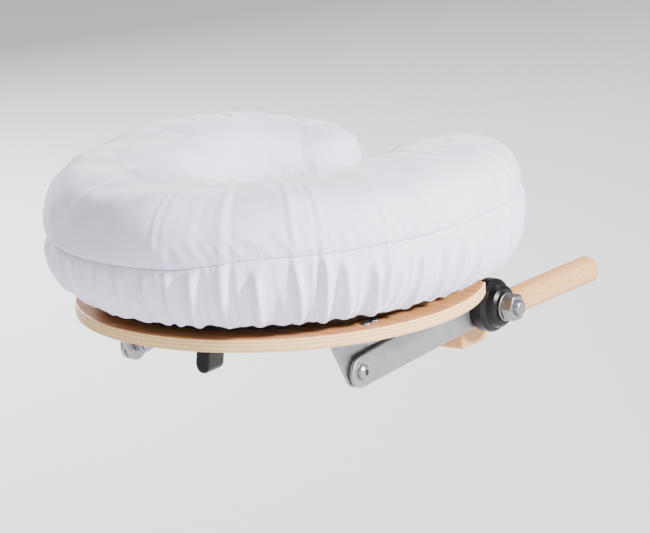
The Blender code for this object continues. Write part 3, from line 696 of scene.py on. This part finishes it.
def seam_lengths(outline, section):
    """Where the seam runs, as a length up the section from the hem, by column."""
    side = outline.centre + outline.out * outline.half[:, None]
    climb = side[:, 0] * math.cos(SEAM_CLIMB_AZIMUTH) + side[:, 1] * math.sin(SEAM_CLIMB_AZIMUTH)
    climb = climb / SEAM_CLIMB_REACH
    dip = SEAM_DIP * smoothstep((-climb - 0.1) / 0.35)
    return section.length_at(SEAM_Z + SEAM_RISE * np.where(climb > 0, 0.3 * climb, climb) - dip)


def ruffle_hem(points, share, outline):
    """Moves the lowest rows in and out and up and down, in small uneven ruffles."""
    hem = smoothstep(1 - share[:, 0] / 0.12)
    ripple = np.sin(outline.along / (5.2 * MM) * math.tau + 3 * wavy(points[0], 0.03, 21))
    drop = 0.45 * MM * wavy(points[0], 0.011, 22) - 0.4 * MM
    points[:SKIRT_ROWS, :, :2] += (hem[:, None] * 0.55 * MM * ripple)[..., None] * outline.out
    points[:SKIRT_ROWS, :, 2] += hem[:, None] * drop


def cover_grid(outline):
    """Rest shape of the whole cover: rows from the hem up over the crown, with its folds and seam."""
    section = Section(HEM_Z)
    seam = seam_lengths(outline, section)
    share = np.linspace(0, 1, SKIRT_ROWS)[:, None]
    rise = np.linspace(0, 1, TOP_ROWS + 1)[1:, None]
    length = np.concatenate([share * seam, seam + rise * (section.length[-1] - seam)])
    points = outline.points(*section.at(length))
    normal = grid_normals(points)

    below = np.clip(seam - length, 0, None)
    above = np.clip(length - seam, 0, None)
    relief = skirt_relief(outline, below, seam) + seam_relief(outline, points[SKIRT_ROWS], below + above)
    relief = relief + panel_relief(outline, points, above)
    points = points + normal * relief[..., None]
    ruffle_hem(points, share, outline)
    uv = np.stack(np.broadcast_arrays(outline.along[None, :], length), axis=-1)
    return points, uv, normal


def settle(points, normal, outline):
    """The cover after a short cloth simulation: pressure fills it while the seam and hem hold it."""
    rows, count = points.shape[:2]
    obj = grid_mesh("settling", points, COTTON, None, True, False, outline.tip_column)
    held = obj.vertex_groups.new(name="held")
    weights = np.zeros((rows, count))
    weights[0] = 1.0
    weights[1] = 0.8
    weights[SKIRT_ROWS - 2 : SKIRT_ROWS + 1] = 0.75
    weights[SKIRT_ROWS + 6 :] = 0.35
    for value in np.unique(weights):
        if value > 0:
            held.add(np.flatnonzero(weights == value).tolist(), float(value), "REPLACE")
    cloth = obj.modifiers.new("cloth", "CLOTH")
    settings = cloth.settings
    settings.quality = 5
    settings.mass = 0.12
    settings.tension_stiffness = 18
    settings.compression_stiffness = 18
    settings.shear_stiffness = 6
    settings.bending_stiffness = 0.08
    settings.use_pressure = True
    settings.uniform_pressure_force = SETTLE_PRESSURE
    settings.vertex_group_mass = "held"
    settings.pin_stiffness = 1.0
    settings.effector_weights.gravity = 0
    cloth.collision_settings.use_collision = False
    cloth.point_cache.frame_start = 1
    cloth.point_cache.frame_end = SETTLE_FRAMES
    scene = bpy.context.scene
    for number in range(1, SETTLE_FRAMES + 1):
        scene.frame_set(number)
    graph = bpy.context.evaluated_depsgraph_get()
    mesh = obj.evaluated_get(graph).to_mesh()
    moved = np.empty(rows * count * 3)
    mesh.vertices.foreach_get("co", moved)
    obj.evaluated_get(graph).to_mesh_clear()
    scene.frame_set(1)
    bpy.data.objects.remove(obj, do_unlink=True)
    shift = moved.reshape(points.shape) - points
    out = np.sum(shift * normal, axis=-1, keepdims=True)
    shift = shift - normal * out + normal * np.clip(out, -SETTLE_IN, SETTLE_OUT)
    size = np.linalg.norm(shift, axis=-1, keepdims=True)
    return points + shift * np.minimum(1.0, SETTLE_REACH / np.maximum(size, 1e-9))


def hem_rolls(outline, edge):
    """Rows that carry the cloth round the elastic and up inside, and the elastic's line."""
    out = np.concatenate([outline.out, np.zeros((outline.count, 1))], axis=1)
    up = np.array([0.0, 0.0, 1.0])
    centre = edge - HEM_ROLL * math.cos(HEM_SLOPE) * out + HEM_ROLL * math.sin(HEM_SLOPE) * up
    rows = []
    for angle in np.linspace(-HEM_SLOPE, -math.pi, 7)[1:]:
        rows.append(centre + HEM_ROLL * (math.cos(angle) * out + math.sin(angle) * up))
    for rise in (2.5 * MM, 5.0 * MM):
        rows.append(rows[5] + rise * (0.93 * up + 0.37 * out))
    return np.array(rows), centre


def seam_turn(points, normal, direction):
    """Two rows of seam allowance turned in at the seam, so that the panels meet in a closed groove."""
    edge = points
    rows = []
    for depth, shift in ((0.7 * MM, 0.10 * MM), (1.5 * MM, 0.45 * MM)):
        rows.append(edge - normal * depth + direction * shift)
    return np.array(rows)


def stitches(name, line, normal, surface, pitch, length, thickness):
    """Short raised stitches along a closed line."""
    steps = np.linalg.norm(np.roll(line, -1, axis=0) - line, axis=1)
    along = np.concatenate([[0], np.cumsum(steps)])
    closed = np.concatenate([line, line[:1]])
    normals = np.concatenate([normal, normal[:1]])
    total = along[-1]
    count = int(total / pitch)
    bm = bmesh.new()
    for i in range(count):
        ends = []
        for end in (-0.5, 0.5):
            spot = (total * (i + 0.5) / count + end * length) % total
            ends.append(Vector([np.interp(spot, along, closed[:, k]) for k in range(3)]))
        spot = total * (i + 0.5) / count
        up = Vector([np.interp(spot, along, normals[:, k]) for k in range(3)]).normalized()
        forward = (ends[1] - ends[0]).normalized()
        side = forward.cross(up).normalized()
        rings = []
        for share, size, lift in ((0, 0.35, -0.3), (0.25, 1, 0.25), (0.75, 1, 0.25), (1, 0.35, -0.3)):
            middle = ends[0].lerp(ends[1], share) + up * lift * thickness
            ring = []
            for k in range(6):
                angle = math.tau * k / 6
                offset = side * math.cos(angle) + up * math.sin(angle)
                ring.append(bm.verts.new(middle + offset * thickness / 2 * size))
            rings.append(ring)
        for first, second in zip(rings, rings[1:]):
            for k in range(6):
                m = (k + 1) % 6
                bm.faces.new((first[k], first[m], second[m], second[k]))
        bm.faces.new(rings[0][::-1])
        bm.faces.new(rings[-1])
    bmesh.ops.recalc_face_normals(bm, faces=bm.faces)
    for face in bm.faces:
        face.smooth = True
    return mesh_object(name, bm, surface)


def tube(name, line, radius, sides, surface):
    """A closed loop of round section, with the length along it and round it as its map."""
    ahead = np.roll(line, -1, axis=0) - np.roll(line, 1, axis=0)
    ahead /= np.linalg.norm(ahead, axis=1)[:, None]
    side = np.cross(ahead, np.array([0.0, 0.0, 1.0]))
    side /= np.linalg.norm(side, axis=1)[:, None]
    up = np.cross(side, ahead)
    along = np.concatenate([[0], np.cumsum(np.linalg.norm(np.diff(line, axis=0), axis=1))])
    rows, spots = [], []
    for k in range(sides + 1):
        angle = math.tau * k / sides
        rows.append(line + radius * (math.cos(angle) * side + math.sin(angle) * up))
        spots.append(np.stack([along, np.full_like(along, radius * angle)], axis=1))
    obj = grid_mesh(name, np.array(rows), surface, np.array(spots))
    weld = obj.modifiers.new("join", "WELD")
    weld.merge_threshold = 0.00001
    return obj


def cover_panel(outline, points, uv, normal, up):
    """The cover's top panel, from its turned-in seam allowance up over the crown."""
    turned = seam_turn(points[SEAM_ROW], normal[SEAM_ROW], up[SEAM_ROW])
    top = np.concatenate([turned[::-1], points[SEAM_ROW:]])
    turned_uv = [uv[SEAM_ROW] - [0, drop * MM] for drop in (1.5, 0.7)]
    top_uv = np.concatenate([np.stack(turned_uv), uv[SEAM_ROW:]])
    panel = grid_mesh("cover_top", top, COTTON, top_uv, True, False, outline.tip_column)
    subdivide(panel)
    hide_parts("cover_top_panel")
    ride_cushion(panel)
    return panel


def cover_band(outline, points, uv, normal, up):
    """The cover's gathered skirt with its rolled hem, and the elastic inside that hem."""
    rolls, elastic_line = hem_rolls(outline, points[0])
    turned = seam_turn(points[SEAM_ROW], normal[SEAM_ROW], -up[SEAM_ROW])
    skirt = np.concatenate([rolls[::-1], points[: SEAM_ROW + 1], turned])
    drops = np.array([9.5, 7.0, 4.5, 3.7, 2.9, 2.1, 1.4, 0.7]) * MM
    low_uv = np.stack([uv[0] - [0, drop] for drop in drops])
    high_uv = np.stack([uv[SEAM_ROW] + [0, rise * MM] for rise in (0.7, 1.5)])
    skirt_uv = np.concatenate([low_uv, uv[: SEAM_ROW + 1], high_uv])
    band = grid_mesh("cover_skirt_gathered", skirt, GATHERED, skirt_uv)
    subdivide(band)
    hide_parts("cover_skirt")
    ride_cushion(band)

    loop = tube("elastic_loop", elastic_line, 1.3 * MM, 10, ELASTIC)
    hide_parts("hem_elastic")
    ride_cushion(loop)
    return band, loop


def cover():
    """The fitted cotton cover: top panel, gathered skirt, rolled hem, elastic and stitching."""
    outline = Outline(COVER_SIDE_STEPS, COVER_CAP_STEPS)
    points, uv, normal = cover_grid(outline)
    points = settle(points, normal, outline)
    normal = grid_normals(points)
    up = np.gradient(points, axis=0)
    up /= np.maximum(np.linalg.norm(up, axis=-1), 1e-12)[..., None]
    panel = cover_panel(outline, points, uv, normal, up)
    band, loop = cover_band(outline, points, uv, normal, up)

    above = SEAM_ROW + 1
    seam_line = points[above] * 0.6 + points[above + 1] * 0.4
    seam_thread = stitches(
        "seam_stitches", seam_line, normal[above], THREAD, 3.4 * MM, 2.3 * MM, 0.45 * MM
    )
    hem_line = points[HEM_STITCH_ROW]
    hem_up = normal[HEM_STITCH_ROW]
    hem_thread = stitches("hem_stitches", hem_line, hem_up, THREAD, 3.0 * MM, 2.1 * MM, 0.45 * MM)
    ride_cushion(seam_thread)
    ride_cushion(hem_thread)


# ---------------------------------------------------------------- the cushion under its cover


def upholstery():
    """The vinyl shell, pulled in at its bottom seam in small puckers."""
    outline = Outline(220, 35)
    inset = 3.0 * MM
    section = Section(SEAT_Z + 1.5 * MM, CROWN_Z - 2 * MM)
    length = np.linspace(0, section.length[-1], 40)[:, None] + np.zeros(outline.count)
    scale, z = section.at(length)
    points = outline.points(scale, z, inset)
    normal = grid_normals(points)
    low = smoothstep(1 - length / (16 * MM))
    pucker = np.sin(outline.along / (8.5 * MM) * math.tau + 3 * wavy(points[0], 0.05, 31))
    crease = wavy(points * [1, 1, 0.35], 0.022, 32)
    relief = 0.55 * MM * low * pucker + 0.3 * MM * crease * smoothstep(1 - length / (40 * MM))
    points = points + normal * relief[..., None]
    turned = points[0] + [0, 0, -1.2 * MM] - normal[0] * [1, 1, 0] * 1.2 * MM
    points = np.concatenate([turned[None], points])
    shell = grid_mesh("upholstery_shell", points, VINYL, None, True, False, outline.tip_column)
    subdivide(shell)
    thick = shell.modifiers.new("thick", "SOLIDIFY")
    thick.thickness = 1.0 * MM
    thick.offset = -1
    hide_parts("vinyl_upholstery")

    scales = np.linspace(1, 0.02, 14)[:, None] * 0.4 + np.zeros(outline.count)
    height = SEAT_Z + 0.15 * MM * wavy(outline.points(scales, np.full_like(scales, SEAT_Z)), 0.03, 41)
    under = outline.points(scales, height, 0.9 * MM)
    over = outline.points(scales, height + 1.1 * MM, 0.9 * MM)
    outward = np.concatenate([outline.out, np.zeros((outline.count, 1))], axis=1)
    rim = (under[0] + over[0]) / 2 + outward * 0.4 * MM
    slab = np.concatenate([over[::-1], rim[None], under])
    panel = grid_mesh("base_panel", slab, VINYL, None, True, True, outline.tip_column)
    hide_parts("vinyl_base_panel")
    ride_cushion(shell)
    ride_cushion(panel)
    line = outline.points(np.full(outline.count, 0.4), np.full(outline.count, SEAT_Z - 0.05 * MM), 4.5 * MM)
    down = np.tile([0.0, 0.0, -1.0], (outline.count, 1))
    sewn = stitches("base_stitches", line, down, BLACK_THREAD, 4.2 * MM, 3.0 * MM, 0.5 * MM)
    ride_cushion(sewn)


def foam_layer(name, node, surface, low, high, crown):
    """A foam layer of the crescent between two heights, with the soft unevenness of cut foam."""
    outline = Outline(160, 23)
    section = Section(SEAT_Z + 2.5 * MM, crown)
    start, end = section.length_at(low), section.length_at(high)
    length = np.linspace(start, end, 18)[:, None] + np.zeros(outline.count)
    scale, z = section.at(length)
    points = outline.points(scale, z, 5.0 * MM)
    points = points + grid_normals(points) * (0.35 * MM * wavy(points, 0.025, 51))[..., None]
    obj = grid_mesh(name, points, surface, None, True, True, outline.tip_column)
    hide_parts(node)
    ride_cushion(obj)


def foam_layers():
    split = 52 * MM
    low = SEAT_Z + 3 * MM
    top = CROWN_Z - 6 * MM
    foam_layer("foam_base_layer", "firm_foam_base", FIRM_FOAM, low, split, CROWN_Z)
    foam_layer("foam_top_layer", "soft_foam_top", SOFT_FOAM, split + 0.4 * MM, top, top)


# ---------------------------------------------------------------- carried-over pieces


def finish_node(name, surface, bevel=0.0, angle=30):
    """Gives a CAD piece its material, joined faces, softened edges and smooth shading."""
    obj = NODES[name]
    obj.data.materials.clear()
    obj.data.materials.append(surface)
    bpy.context.view_layer.objects.active = obj
    bpy.ops.mesh.customdata_custom_splitnormals_clear()
    obj.data.shade_smooth()
    weld = obj.modifiers.new("weld", "WELD")
    weld.merge_threshold = 0.00002
    if bevel:
        edges = obj.modifiers.new("edges", "BEVEL")
        edges.width = bevel
        edges.segments = 2
        edges.limit_method = "ANGLE"
        edges.angle_limit = math.radians(angle)
        edges.harden_normals = False
        weighted = obj.modifiers.new("weighted", "WEIGHTED_NORMAL")
        weighted.keep_sharp = False
        weighted.weight = 80
    else:
        split = obj.modifiers.new("split", "EDGE_SPLIT")
        split.split_angle = math.radians(angle)
        split.use_edge_sharp = False


def carried_over():
    finish_node("platform_ring", PLYWOOD, 0.35 * MM)
    for side in ("left", "right"):
        finish_node(f"arm_{side}", ALUMINIUM, 0.25 * MM)
        finish_node(f"ear_bracket_{side}", ALUMINIUM, 0.3 * MM)
        finish_node(f"pivot_bolt_{side}", STEEL)
        finish_node(f"lock_nut_{side}", STEEL, 0.15 * MM)
        finish_node(f"pivot_washer_{side}", NYLON)
        finish_node(f"post_{side}", BEECH_LONG)
        finish_node(f"friction_disc_{side}", PLASTIC)
        finish_node(f"hinge_barrel_{side}", PLASTIC)
        finish_node(f"hinge_washer_{side}", STEEL)
        for number in (1, 2, 3):
            finish_node(f"platform_screw_{side}_{number}", STEEL)
    for side in ("left", "front", "right"):
        finish_node(f"hook_strip_{side}", HOOK_TAPE, 0.3 * MM)
        finish_node(f"loop_strip_{side}", LOOP_TAPE, 0.3 * MM)
    finish_node("crossbar", BEECH_ACROSS, 0.3 * MM)
    finish_node("hinge_rod", STEEL)
    finish_node("hinge_nut", STEEL, 0.2 * MM)
    finish_node("cam_pin", STEEL)
    finish_node("cam_lever", PLASTIC, 0.4 * MM)


FLOOR = pale_floor()
COTTON = cotton("cotton")
GATHERED = cotton("cotton_gathered", gathered=True)
VINYL = vinyl()
ELASTIC = elastic()
SOFT_FOAM = foam("soft_foam", (0.82, 0.76, 0.55), 1.2 * MM)
FIRM_FOAM = foam("firm_foam", (0.60, 0.64, 0.70), 0.7 * MM)
HOOK_TAPE = tape("hook_tape", True)
LOOP_TAPE = tape("loop_tape", False)
PLYWOOD = plywood()
BEECH_LONG = beech("beech_post", "Y")
BEECH_ACROSS = beech("beech_rail", "X")
ALUMINIUM = aluminium()
STEEL = steel()
PLASTIC = plastic()
NYLON = nylon()
THREAD = thread()
BLACK_THREAD = tape("black_thread", False)

camera()
studio()
floor()
carried_over()
foam_layers()
upholstery()
cover()
